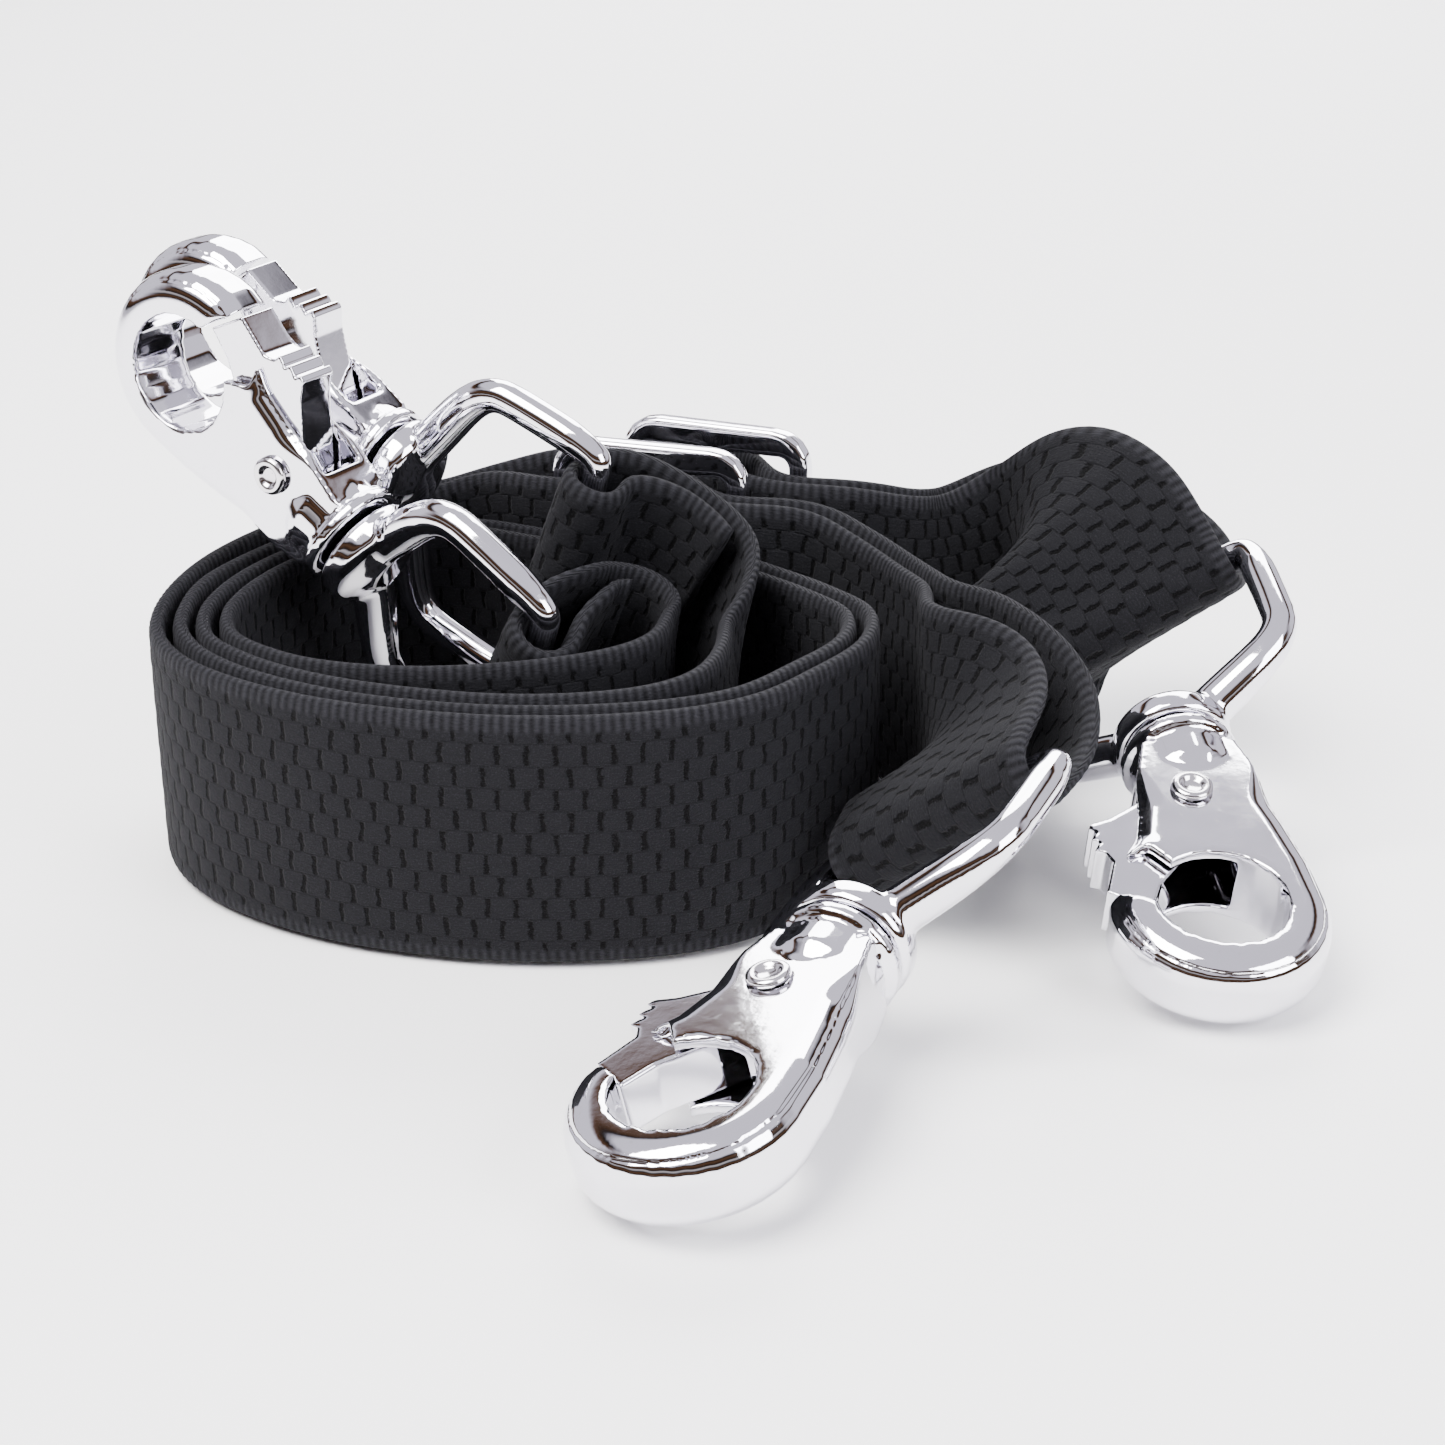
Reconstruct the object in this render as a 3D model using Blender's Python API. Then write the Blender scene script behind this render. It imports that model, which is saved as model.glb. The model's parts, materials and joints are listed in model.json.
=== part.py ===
"""Suspenders rolled for packing: two elastic straps in an oval coil standing on the webbing's edge.

Each of the four strap ends carries a swivel trigger hook, and two of them a slide adjuster.
Lengths are in millimetres and become metres when a mesh is made. X runs along the coil,
Y across it and Z up. The coil stands on Z = 0.
"""
import math

import bmesh
import bpy
import numpy as np
from mathutils import Matrix, Vector

MM = 0.001

# --- webbing and coil -------------------------------------------------------------------
HALF_WIDTH = 12.4            # half of the 25 mm elastic webbing
HALF_THICK = 0.8             # half of its thickness
STATION = 2.8                # spacing of the straps' cross-sections
MIDDLE = 12.7                # height of the webbing's middle line in the coil

# --- swivel hook ------------------------------------------------------------------------
BODY_HALF = 3.9              # half thickness of the hook's body
SLOT_HALF = 2.75             # half width of the slot between its cheeks
NOSE = (24.6, -2.2)          # centre of the round nose, from the swivel's centre
NOSE_RADIUS = 10.2
LOOP_RADIUS = 6.1
NOTCH_X = 24.6               # where the gate meets the nose
PIVOT = (9.8, -1.5)          # rivet's centre
RIVET_RADIUS = 1.1
HOLE_RADIUS = 1.45           # of the rivet's hole in the cheeks and in the gate
HUB_RADIUS = 2.9             # of the gate round its rivet
GATE_HALF = 2.4
TAIL_RADIUS = 5.0
COLLAR_RADIUS = 5.8
BORE_RADIUS = 1.9
STEM_RADIUS = 1.55
HEAD_RADIUS = 2.4
FLANGE_RADIUS = 5.9
CORNER_X = -9.8              # where the eye's shoulders reach its arms
BAR_X = -23.4                # crossbar that the webbing loops round
ARM_Y = 14.6                 # half the distance between the arms
ARM_RADIUS = 1.8
WRAP = ARM_RADIUS + 0.4 + HALF_THICK     # middle of the webbing round the crossbar

# --- slide adjuster -----------------------------------------------------------------------
SLIDE_HALF = 16.5            # half of its height across the webbing
SLIDE_REACH = 10.0           # from its middle bar to an end bar
SLIDE_BAR = 1.15
MAIN_RISE = 5.3              # how far the strap stands off the middle bar
UNDER_BAR = 2.7              # how far it passes below an end bar

# Swivel centres, the direction to the nose, the face's normal and the crossbar's direction
HOOKS = {
    "front": ((28.8, -48.0, 10.4), (-0.44, -0.88, -0.16), (-0.165, 0.0, 0.986), (0.69, -0.38, 0.60)),
    "right": ((63.0, -11.0, 13.2), (0.11, -0.95, -0.28), (0.04, -0.28, 0.957), (0.80, 0.05, 0.55)),
    "near": ((-18.7, 7.3, 29.3), (-0.70, 0.43, 0.56), (-0.56, -0.82, 0.0), (0.15, -0.44, 0.88)),
    "far": ((-16.5, 20.3, 33.5), (-0.80, 0.46, 0.38), (-0.56, -0.82, 0.0), (0.42, -0.29, 0.85)),
}


# Strap ends: the side of the guide that the main layer lies on, the length of the folded-back
# stretch, whether it ends at a slide adjuster or is sewn down, and where the webbing stands upright
ENDS = {
    "right": {"side": 1, "double": 56.7, "slide": True, "twist": 27.0, "loose": 20.0, "bulge": 6.0},
    "front": {"side": 1, "double": 73.4, "slide": True, "twist": 26.0, "loose": 34.0, "bulge": 1.2},
    "near": {"side": 1, "double": 13.0, "slide": False, "twist": 20.0, "loose": 9.0, "bulge": 0.0},
    "far": {"side": 1, "double": 15.0, "slide": False, "twist": 28.0, "loose": 9.0, "bulge": 0.0},
}
HALF_LAYER = 1.35            # half the distance between the two layers of a folded end
RAMP = 9.0                   # length over which the layers open for a slide adjuster
HEM_RADIUS = 2.75            # middle of the webbing round the adjuster's middle bar
FOLD_DROP = 5.1              # how far the folded-back layer passes below an end bar

# Guides of the two straps, from one crossbar through the coil to the other
OUTER_GUIDE = [
    (59.6, 17.4, 20.8), (57.8, 23.2, 21.0), (52.2, 28.0, 18.4), (44.0, 28.4, 15.4), (36.0, 28.6, 15.4),
    (28.5, 31.0, 16.8), (23.5, 33.1, 16.9), (18.5, 35.2, 16.9), (13.5, 37.3, 16.9), (8.5, 39.4, 16.8),
    (-1.0, 41.8, 15.4), (-11.0, 40.6, 13.2), (-20.5, 35.6, MIDDLE), (-28.6, 27.4, MIDDLE),
    (-34.8, 16.0, MIDDLE), (-37.4, 4.5, MIDDLE), (-36.9, -6.0, MIDDLE), (-33.0, -14.5, MIDDLE),
    (-25.5, -21.5, MIDDLE), (-15.0, -26.8, MIDDLE), (-2.0, -29.6, MIDDLE), (11.0, -29.0, MIDDLE),
    (20.8, -25.2, MIDDLE), (27.2, -18.0, MIDDLE), (32.2, -10.0, MIDDLE), (33.2, -1.5, MIDDLE),
    (29.4, 5.0, MIDDLE), (24.4, 10.6, MIDDLE), (18.4, 16.2, MIDDLE), (10.0, 19.8, MIDDLE),
    (1.0, 22.6, MIDDLE), (-8.0, 26.6, MIDDLE), (-17.0, 26.6, MIDDLE), (-25.0, 19.8, MIDDLE),
    (-30.6, 10.4, MIDDLE), (-33.0, 0.6, MIDDLE), (-31.8, -7.6, MIDDLE), (-27.8, -13.2, MIDDLE),
    (-21.5, -18.2, MIDDLE), (-13.0, -22.0, MIDDLE), (-2.0, -24.4, MIDDLE), (8.0, -23.6, MIDDLE),
    (14.6, -20.0, MIDDLE), (17.8, -13.4, MIDDLE), (18.8, -5.0, 13.4), (18.8, 1.8, 16.0),
    (16.4, 7.6, 19.6), (11.6, 10.6, 23.0), (6.0, 11.0, 25.7),
]
INNER_GUIDE = [
    (41.2, -22.8, 15.0), (43.8, -15.0, 14.8), (43.6, -6.0, 14.2), (41.0, 3.0, 13.4), (36.6, 12.5, 13.4),
    (29.0, 20.4, 15.4), (20.5, 24.4, 16.9), (15.5, 26.05, 16.9), (10.5, 27.7, 16.9), (5.5, 29.35, 16.9),
    (0.5, 31.0, 16.9), (-8.0, 33.8, 15.2), (-17.2, 31.8, 13.2), (-25.4, 24.4, MIDDLE),
    (-31.0, 15.6, MIDDLE), (-34.4, 8.0, MIDDLE), (-35.2, 1.0, MIDDLE), (-34.4, -6.4, MIDDLE),
    (-30.7, -13.5, MIDDLE), (-24.0, -19.6, MIDDLE), (-14.2, -24.6, MIDDLE), (-2.0, -27.2, MIDDLE),
    (10.2, -26.6, MIDDLE), (19.4, -23.2, MIDDLE), (25.4, -16.4, MIDDLE), (30.0, -9.4, MIDDLE),
    (30.9, -2.2, MIDDLE), (27.6, 3.4, MIDDLE), (22.8, 8.8, MIDDLE), (17.2, 13.9, MIDDLE),
    (9.2, 17.4, MIDDLE), (0.0, 20.2, MIDDLE), (-8.4, 24.2, MIDDLE), (-15.9, 24.2, MIDDLE),
    (-23.2, 18.0, MIDDLE), (-28.4, 9.2, MIDDLE), (-30.7, 0.2, MIDDLE), (-29.6, -6.9, MIDDLE),
    (-26.0, -11.7, MIDDLE), (-19.8, -15.7, MIDDLE), (-11.0, -17.4, MIDDLE), (-2.0, -16.4, MIDDLE),
    (6.0, -13.6, MIDDLE), (10.8, -9.6, MIDDLE), (12.6, -4.0, MIDDLE), (11.6, 1.2, 13.4),
    (8.0, 4.6, 15.2), (3.0, 4.9, 17.0), (-0.6, 1.2, 17.6),
]


def clear_scene():
    for item in list(bpy.data.objects):
        bpy.data.objects.remove(item, do_unlink=True)


def material(name, colour, roughness, metallic):
    made = bpy.data.materials.new(name)
    made.use_nodes = True
    shader = made.node_tree.nodes["Principled BSDF"]
    shader.inputs["Base Color"].default_value = (*colour, 1.0)
    shader.inputs["Roughness"].default_value = roughness
    shader.inputs["Metallic"].default_value = metallic
    return made


def add_object(name, mesh, finish, parent=None):
    made = bpy.data.objects.new(name, mesh)
    bpy.context.scene.collection.objects.link(made)
    mesh.materials.clear()
    mesh.materials.append(finish)
    made.parent = parent
    return made


def add_empty(name, matrix, parent=None):
    made = bpy.data.objects.new(name, None)
    bpy.context.scene.collection.objects.link(made)
    made.parent = parent
    made.matrix_local = matrix
    return made


def mesh_from(bm, name):
    bmesh.ops.recalc_face_normals(bm, faces=bm.faces[:])
    mesh = bpy.data.meshes.new(name)
    bm.to_mesh(mesh)
    bm.free()
    return mesh


def arc(centre, radius, start, end, steps):
    """Points on an arc from one angle to another, in degrees."""
    angles = np.radians(np.linspace(start, end, steps))
    return [(centre[0] + radius * math.cos(a), centre[1] + radius * math.sin(a)) for a in angles]


def prism(outline, low, high, name):
    """A flat outline carried from z = low to z = high."""
    bm = bmesh.new()
    bottom = [bm.verts.new((x * MM, y * MM, low * MM)) for x, y in outline]
    top = [bm.verts.new((x * MM, y * MM, high * MM)) for x, y in outline]
    bm.faces.new(bottom[::-1])
    bm.faces.new(top)
    for i in range(len(outline)):
        j = (i + 1) % len(outline)
        bm.faces.new((bottom[i], bottom[j], top[j], top[i]))
    return mesh_from(bm, name)


def turned(profile, name, steps=24):
    """A profile of (x, radius) points turned about the X axis; it starts and ends at radius 0."""
    bm = bmesh.new()
    rings = []
    for x, radius in profile:
        if radius == 0.0:
            rings.append([bm.verts.new((x * MM, 0.0, 0.0))])
            continue
        turn = np.linspace(0.0, 2.0 * math.pi, steps, endpoint=False)
        rings.append([bm.verts.new((x * MM, radius * math.cos(a) * MM, radius * math.sin(a) * MM))
                      for a in turn])
    for first, second in zip(rings[:-1], rings[1:]):
        for i in range(steps):
            j = (i + 1) % steps
            corners = [first[i % len(first)], first[j % len(first)],
                       second[j % len(second)], second[i % len(second)]]
            bm.faces.new(list(dict.fromkeys(corners)))
    return mesh_from(bm, name)


def tube_loop(points, radius, name, sides=10):
    """A closed tube along a loop of points in the XY plane."""
    bm = bmesh.new()
    path = np.array(points, float)
    ahead = np.roll(path, -1, 0) - path
    ahead /= np.linalg.norm(ahead, axis=1)[:, None]
    behind = np.roll(ahead, 1, 0)
    bisector = ahead + behind
    bisector /= np.linalg.norm(bisector, axis=1)[:, None]
    across = np.stack([-bisector[:, 1], bisector[:, 0]], 1)
    stretch = 1.0 / np.clip((across * np.stack([-ahead[:, 1], ahead[:, 0]], 1)).sum(1), 0.5, 1.0)
    rings = []
    for centre, side, wide in zip(path, across, stretch):
        ring = []
        for k in range(sides):
            turn = 2.0 * math.pi * k / sides
            flat = centre + side * wide * radius * math.cos(turn)
            ring.append(bm.verts.new((flat[0] * MM, flat[1] * MM, radius * math.sin(turn) * MM)))
        rings.append(ring)
    for first, second in zip(rings, rings[1:] + rings[:1]):
        for k in range(sides):
            m = (k + 1) % sides
            bm.faces.new((first[k], first[m], second[m], second[k]))
    return mesh_from(bm, name)


def cut_or_join(target, mesh, operation):
    """Adds a Boolean whose tool is kept hidden as a wire guide."""
    tool = bpy.data.objects.new(target.name + "_tool", mesh)
    bpy.context.scene.collection.objects.link(tool)
    tool.parent = target
    tool.hide_render = True
    tool.display_type = "WIRE"
    step = target.modifiers.new("shape", "BOOLEAN")
    step.operation = operation
    step.solver = "EXACT"
    step.object = tool
    return tool


def basis(forward, normal):
    """Rotation whose X runs forward and whose Z is near the normal."""
    x = Vector(forward).normalized()
    z = Vector(normal)
    z = (z - x * z.dot(x)).normalized()
    return Matrix((x, z.cross(x), z)).transposed()


def hook_outline():
    """Plan of the hook's body: straight spine, round nose and the cheeks' slanted end."""
    nose = arc(NOSE, NOSE_RADIUS, 90.0, -90.0, 19)
    spine = [(2.2, 4.6), (7.0, 5.6), (14.0, 7.0), (19.5, 7.8)]
    cheeks = [(19.0, -11.2), (15.0, -8.4), (8.0, -6.4), (2.2, -4.6)]
    return (spine + nose + cheeks)[::-1]


def hook_body_meshes():
    plate = prism(hook_outline(), -BODY_HALF, BODY_HALF, "hook_plate")
    tail = turned([(0.0, 0.0), (0.0, 4.6), (0.4, COLLAR_RADIUS), (1.5, COLLAR_RADIUS), (1.9, TAIL_RADIUS),
                   (5.0, TAIL_RADIUS), (7.2, 3.6), (7.2, 0.0)], "hook_tail")
    loop = prism(arc(NOSE, LOOP_RADIUS, 0.0, 345.0, 24), -6.0, 6.0, "hook_loop")
    gate_gap = prism([(17.0, -14.0), (21.5, -14.0), (NOTCH_X, -8.3), (NOTCH_X, -6.6), (20.6, -5.0),
                      (17.0, -7.4)],
                     -6.0, 6.0, "hook_gate_gap")
    slot = prism([(5.2, -14.0), (22.0, -14.0), (22.0, -2.0), (17.0, 2.9), (5.2, 2.9)],
                 -SLOT_HALF, SLOT_HALF, "hook_slot")
    bore = turned([(-2.0, 0.0), (-2.0, BORE_RADIUS), (6.0, BORE_RADIUS), (6.0, 0.0)], "hook_bore", 16)
    rivet_hole = prism(arc(PIVOT, HOLE_RADIUS, 0.0, 337.5, 16), -6.0, 6.0, "hook_rivet_hole")
    return plate, tail, (loop, gate_gap, slot, bore, rivet_hole)


def gate_meshes():
    """Gate about its rivet: a hub, a ribbed lever outside and an arm to the nose; and its cuts."""
    hub = arc(PIVOT, HUB_RADIUS, 60.0, 215.0, 9)
    lever = [(9.4, -6.2), (11.6, -9.6)]
    for rib in range(3):
        x = 12.3 + 1.5 * rib
        lever += [(x, -11.6), (x + 0.75, -12.0), (x + 1.0, -11.1)]
    arm = [(17.6, -10.6), (21.7, -12.1), (NOTCH_X - 0.4, -8.4), (21.0, -6.9), (17.0, -3.2)]
    outline = [(x - PIVOT[0], y - PIVOT[1]) for x, y in hub + lever + arm]
    hole = prism(arc((0.0, 0.0), HOLE_RADIUS, 0.0, 337.5, 16), -4.0, 4.0, "gate_hole")
    recess = prism(arc((0.0, 0.0), 2.35, 0.0, 345.0, 24), GATE_HALF - 1.0, 4.0, "gate_recess")
    return prism(outline, -GATE_HALF, GATE_HALF, "gate"), (hole, recess)


def rivet_mesh():
    reach = BODY_HALF + 0.3
    bm = bmesh.new()
    profile = [(-reach - 0.5, 0.0), (-reach - 0.5, 1.7), (-reach, 2.0), (-reach, RIVET_RADIUS),
               (reach, RIVET_RADIUS), (reach, 2.0), (reach + 0.5, 1.7), (reach + 0.5, 0.0)]
    bm.from_mesh(turned(profile, "rivet", 16))
    bmesh.ops.rotate(bm, verts=bm.verts[:], matrix=Matrix.Rotation(math.radians(-90.0), 3, "Y"))
    return mesh_from(bm, "rivet")


def spring_mesh():
    """A torsion spring round the rivet, drawn as the closed ring of its coils."""
    bm = bmesh.new()
    turn = np.linspace(0.0, 2.0 * math.pi, 16, endpoint=False)
    rings = []
    for radius, z in ((1.55, 1.65), (2.05, 1.65), (2.05, 2.3), (1.55, 2.3)):
        rings.append([bm.verts.new((radius * math.cos(a) * MM, radius * math.sin(a) * MM, z * MM))
                      for a in turn])
    for first, second in zip(rings, rings[1:] + rings[:1]):
        for i in range(16):
            j = (i + 1) % 16
            bm.faces.new((first[i], first[j], second[j], second[i]))
    return mesh_from(bm, "spring")


def eye_meshes():
    """The eye's frame, in the plane of its crossbar, and its turned hub, stem and head."""
    half = [(-2.6, 2.4), (-4.6, 6.4), (-7.2, 12.2), (CORNER_X + 0.8, 14.0), (CORNER_X - 1.0, ARM_Y),
            (BAR_X + 1.2, ARM_Y), (BAR_X, ARM_Y - 1.0)]
    loop = half + [(x, -y) for x, y in reversed(half)]
    frame = tube_loop(loop, ARM_RADIUS, "eye_frame")
    hub = turned([(-4.6, 0.0), (-4.6, 3.2), (-3.6, FLANGE_RADIUS - 0.5), (-3.0, FLANGE_RADIUS),
                  (-1.0, FLANGE_RADIUS), (-0.5, FLANGE_RADIUS - 0.5), (-0.5, STEM_RADIUS),
                  (5.6, STEM_RADIUS), (5.6, HEAD_RADIUS), (6.6, HEAD_RADIUS), (6.6, 0.0)], "eye_hub")
    return frame, hub


def rounded_slot(half_long, half_wide, radius, steps=5):
    """A rectangle with round corners, long side along Y."""
    points = []
    for cx, cy, start in ((1, 1, 0), (-1, 1, 90), (-1, -1, 180), (1, -1, 270)):
        centre = (cx * (half_wide - radius), cy * (half_long - radius))
        points += arc(centre, radius, start, start + 90, steps)
    return points


def slide_meshes():
    """A slide adjuster in its own plane: a frame round two slots, the middle bar between them."""
    frame = prism(rounded_slot(SLIDE_HALF, SLIDE_REACH + SLIDE_BAR, 4.0), -SLIDE_BAR, SLIDE_BAR, "slide")
    cuts = []
    for side in (-1, 1):
        middle = side * (SLIDE_REACH / 2.0)
        half = SLIDE_REACH / 2.0 - SLIDE_BAR
        slot = [(x + middle, y) for x, y in rounded_slot(SLIDE_HALF - 3.0, half, 1.0, 4)]
        cuts.append(prism(slot, -4.0, 4.0, "slide_slot"))
    return frame, cuts


def smooth_path(points, spacing):
    """A Catmull-Rom curve through the points, cut into equal steps."""
    p = np.array([list(points[0])] + [list(q) for q in points] + [list(points[-1])], float)
    fine = []
    for a, b, c, d in zip(p[:-3], p[1:-2], p[2:-1], p[3:]):
        steps = max(4, int(np.linalg.norm(c - b) / 0.4))
        t = np.linspace(0.0, 1.0, steps, endpoint=False)[:, None]
        fine.append(0.5 * (2 * b + (c - a) * t + (2 * a - 5 * b + 4 * c - d) * t ** 2
                           + (3 * b - 3 * c + d - a) * t ** 3))
    fine = np.vstack(fine + [p[-1:]])
    run = np.concatenate([[0.0], np.cumsum(np.linalg.norm(np.diff(fine, axis=0), axis=1))])
    even = np.linspace(0.0, run[-1], int(round(run[-1] / spacing)) + 1)
    return np.stack([np.interp(even, run, fine[:, i]) for i in range(3)], 1), even


def unit(rows):
    return rows / np.linalg.norm(rows, axis=-1, keepdims=True)


def blend(value, low, high):
    """Smooth step from 0 at low to 1 at high."""
    t = np.clip((value - low) / (high - low), 0.0, 1.0)
    return t * t * (3.0 - 2.0 * t)


def bar_direction(hook):
    """Direction of a hook's crossbar, square to the hook's own axis."""
    forward, bar = Vector(HOOKS[hook][1]).normalized(), Vector(HOOKS[hook][3])
    return (bar - forward * bar.dot(forward)).normalized()


def bar_middle(hook):
    """Middle of a hook's crossbar."""
    return Vector(HOOKS[hook][0]) + Vector(HOOKS[hook][1]).normalized() * BAR_X


def frame_of(path, run, first, last):
    """Width direction and thickness direction at every point of a guide."""
    ahead = unit(np.gradient(path, axis=0))
    wide = np.tile(np.array([0.0, 0.0, 1.0]), (len(path), 1))
    for end, distance in ((first, run), (last, run[-1] - run)):
        near = 1.0 - blend(distance, 3.0, ENDS[end]["twist"])
        wide = wide + near[:, None] * (np.array(bar_direction(end)) - wide)
    wide = unit(wide - ahead * (wide * ahead).sum(1)[:, None])
    for end, distance in ((first, run), (last, run[-1] - run)):
        near = 1.0 - blend(distance, 1.0, 9.0)
        wide = unit(wide + near[:, None] * (np.array(bar_direction(end)) - wide))
    return wide, unit(np.cross(ahead, wide))


def layer_offsets(distance, end):
    """How far the main layer and the folded-back layer lie from the guide near one end."""
    spec = ENDS[end]
    close = WRAP - (WRAP - HALF_LAYER) * blend(distance, spec["loose"] - 9.0, spec["loose"])
    close = close + spec["bulge"] * np.sin(np.pi * np.clip(distance / spec["loose"], 0.0, 1.0))
    if not spec["slide"]:
        main = close * (1.0 - blend(distance, spec["double"], spec["double"] + 14.0))
        return main, -close
    along = distance - spec["double"]
    hump = 0.5 * (1.0 + np.cos(np.pi * np.clip(along / SLIDE_REACH, -1.0, 1.0)))
    over = -UNDER_BAR + (MAIN_RISE + UNDER_BAR) * hump
    level = SLIDE_REACH + 1.6
    near = blend(along, -level - RAMP, -level) * (1.0 - blend(along, level, level + RAMP))
    main = close * (along < 0.0) * (1.0 - near) + over * near
    below = -close + (close - FOLD_DROP) * blend(along, -level - RAMP, -level)
    below = below + (FOLD_DROP - HEM_RADIUS) * blend(along, -SLIDE_REACH + 1.0, -1.0)
    return main, below


def at(run, rows, distance):
    return np.array([np.interp(distance, run, rows[:, i]) for i in range(3)])


def end_stations(path, run, wide, out, end):
    """Stations from the hem, along the folded-back layer and round the crossbar."""
    last, side, stations = ENDS[end]["double"], ENDS[end]["side"], []
    if ENDS[end]["slide"]:
        centre, w, u = at(run, path, last), unit(at(run, wide, last)), unit(at(run, out, last))
        ahead = unit(at(run, path, last + 1.0) - centre)
        for turn in np.radians(np.arange(95.0, -85.0, -22.0)):
            spot = centre + HEM_RADIUS * (side * u * math.sin(turn) + ahead * math.cos(turn))
            stations.append((spot, w))
    for distance in np.arange(last, 0.8, -STATION):
        below = float(layer_offsets(np.array([distance]), end)[1][0])
        spot = at(run, path, distance) + side * below * unit(at(run, out, distance))
        stations.append((spot, unit(at(run, wide, distance))))
    w, u = wide[0], out[0]
    ahead = path[2] - path[0]
    ahead = unit(ahead - w * np.dot(ahead, w) - u * np.dot(ahead, u))
    for turn in np.radians(np.linspace(-90.0, 90.0, 10)):
        stations.append((path[0] + WRAP * (side * u * math.sin(turn) - ahead * math.cos(turn)), w))
    return stations


def keep_station(i, run, first, last):
    """Every half station by a slide adjuster, every one near the ends, and fewer in the coil."""
    for end, distance in ((first, run[i]), (last, run[-1] - run[i])):
        if ENDS[end]["slide"] and abs(distance - ENDS[end]["double"]) < SLIDE_REACH + 3.0:
            return True
        if distance < ENDS[end]["loose"] + 6.0:
            return i % 2 == 0
    return i % 3 == 0


def straightened(path, run, wide, out, middle):
    """The path and its frames, made straight and level where a slide adjuster sits at `middle`."""
    w, u = unit(at(run, wide, middle)), unit(at(run, out, middle))
    ahead = at(run, path, middle + 1.0) - at(run, path, middle - 1.0)
    ahead = unit(ahead - w * np.dot(ahead, w) - u * np.dot(ahead, u))
    along = run - middle
    share = 1.0 - blend(np.abs(along), SLIDE_REACH + 2.0, SLIDE_REACH + RAMP + 3.0)[:, None]
    line = at(run, path, middle) + along[:, None] * ahead
    return path + (line - path) * share, unit(wide + (w - wide) * share), unit(out + (u - out) * share)


def strap_stations(first, last, guide):
    """Cross-section middles and width directions of a whole strap, from hem to hem."""
    path, run = smooth_path([bar_middle(first)] + guide + [bar_middle(last)], STATION / 2.0)
    wide, out = frame_of(path, run, first, last)
    if ENDS[first]["slide"]:
        path, wide, out = straightened(path, run, wide, out, ENDS[first]["double"])
    offset = np.zeros(len(path))
    for end, distance in ((first, run), (last, run[-1] - run)):
        offset = offset + ENDS[end]["side"] * layer_offsets(distance, end)[0]
    main = path + out * offset[:, None]
    begin = end_stations(path, run, wide, out, first)
    finish = end_stations(path[::-1], run, wide[::-1], out[::-1], last)
    kept = [i for i in range(2, len(main) - 2) if keep_station(i, run, first, last)]
    return begin + [(main[i], wide[i]) for i in kept] + finish[::-1], path, run, wide, out


def ribbon_mesh(stations, name):
    """A closed strip of webbing swept along its stations."""
    middles = np.array([np.array(s[0]) for s in stations])
    wide = unit(np.array([np.array(s[1]) for s in stations]))
    ahead = unit(np.gradient(middles, axis=0))
    thick = unit(np.cross(ahead, wide))
    bm = bmesh.new()
    rings = []
    for m, w, t in zip(middles, wide, thick):
        corners = [m + a * HALF_WIDTH * w + b * HALF_THICK * t for a, b in ((1, 1), (1, -1), (-1, -1), (-1, 1))]
        rings.append([bm.verts.new(c * MM) for c in corners])
    for first, second in zip(rings[:-1], rings[1:]):
        for k in range(4):
            m = (k + 1) % 4
            bm.faces.new((first[k], first[m], second[m], second[k]))
    bm.faces.new(rings[0][::-1])
    bm.faces.new(rings[-1])
    return mesh_from(bm, name)


# --- assembly ------------------------------------------------------------------------------

# From the coil's own frame to the part's, whose origin is below the middle of its box
SHIFT = Vector((-14.808, 18.206, 0.305))


def placed(origin, x_axis, y_axis, z_axis):
    """A frame in metres from an origin in millimetres and three unit axes."""
    turn = Matrix((x_axis, y_axis, z_axis)).transposed().to_4x4()
    return Matrix.Translation((Vector(origin) + SHIFT) * MM) @ turn


def hook_frame(hook):
    turn = basis(HOOKS[hook][1], HOOKS[hook][2])
    return placed(HOOKS[hook][0], turn.col[0], turn.col[1], turn.col[2])


def eye_frame(hook):
    forward, bar = Vector(HOOKS[hook][1]).normalized(), bar_direction(hook)
    return placed(HOOKS[hook][0], forward, bar, forward.cross(bar))


def add_strap(name, first, last, guide, finish):
    """One strap, and the frames of the slide adjusters at its ends."""
    stations, path, run, wide, out = strap_stations(first, last, guide)
    mesh = ribbon_mesh(stations, name)
    shift = np.array(SHIFT) * MM
    for vertex in mesh.vertices:
        vertex.co += Vector(shift)
    add_object(name, mesh, finish)
    centre = at(run, path, ENDS[first]["double"])
    y_axis = Vector(unit(at(run, wide, ENDS[first]["double"])))
    z_axis = Vector(unit(at(run, out, ENDS[first]["double"])))
    return placed(centre, y_axis.cross(z_axis), y_axis, z_axis)


def add_slide(name, frame, finish):
    mesh, cuts = slide_meshes()
    made = add_object(name, mesh, finish)
    made.matrix_world = frame
    for cut in cuts:
        cut_or_join(made, cut, "DIFFERENCE")
    step = made.modifiers.new("edges", "BEVEL")
    step.width = 0.35 * MM
    step.segments = 1


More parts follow.
